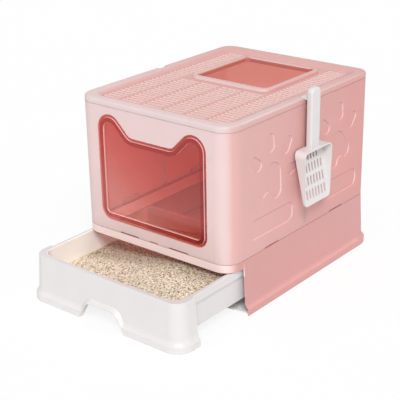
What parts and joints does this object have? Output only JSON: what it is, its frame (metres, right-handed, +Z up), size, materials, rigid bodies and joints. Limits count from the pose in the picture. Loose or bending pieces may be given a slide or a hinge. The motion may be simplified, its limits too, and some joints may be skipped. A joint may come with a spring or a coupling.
{
  "type": "covered litter box",
  "caption": "Covered litter box with a cat-ear flap door, a slotted lid with a top entry, a pull-out litter drawer on a flared foot and a slotted scoop hooked on the lid.",
  "frame": {"origin": "on the floor under the middle of the closed cabin's footprint", "axes": "+Z up, -Y towards the front with the door and the drawer, +X to the right with the scoop"},
  "size_m": [0.409, 0.641, 0.4],
  "materials": {
    "pink_plastic": "moulded satin",
    "white_plastic": "moulded satin",
    "red_flap_plastic": "translucent",
    "litter_pellets": "pressed pellets"
  },
  "bodies": {
    "base": {"base_frame": "pink_plastic", "floor_pan": "white_plastic"},
    "drawer": {"drawer_tray": "white_plastic", "litter_bed": "litter_pellets"},
    "cabin": {"front_shell": "pink_plastic", "rear_shell": "pink_plastic", "seam_strip_left": "pink_plastic", "seam_strip_right": "pink_plastic", "hinge_pin_left": "pink_plastic", "hinge_pin_right": "pink_plastic"},
    "door": {"door_flap": "red_flap_plastic"},
    "lid": {"lid": "pink_plastic"},
    "scoop": {"scoop": "white_plastic"}
  },
  "joints": [
    {"name": "drawer_slide", "type": "slide", "parent": "base", "child": "drawer", "axis": [0, -1, 0], "range_m": [-0.14, 0.11]},
    {"name": "cabin_lift", "type": "slide", "parent": "base", "child": "cabin", "axis": [0, 0, 1], "range_m": [0, 0.12]},
    {"name": "door_swing", "type": "hinge", "parent": "cabin", "child": "door", "pos_m": [0, -0.2357, 0.312], "axis": [1, 0, 0], "range_deg": [-80, 80]},
    {"name": "lid_lift", "type": "slide", "parent": "cabin", "child": "lid", "axis": [0, 0, 1], "range_m": [0, 0.12]},
    {"name": "scoop_lift", "type": "slide", "parent": "lid", "child": "scoop", "axis": [0, 0, 1], "range_m": [0, 0.06]}
  ]
}
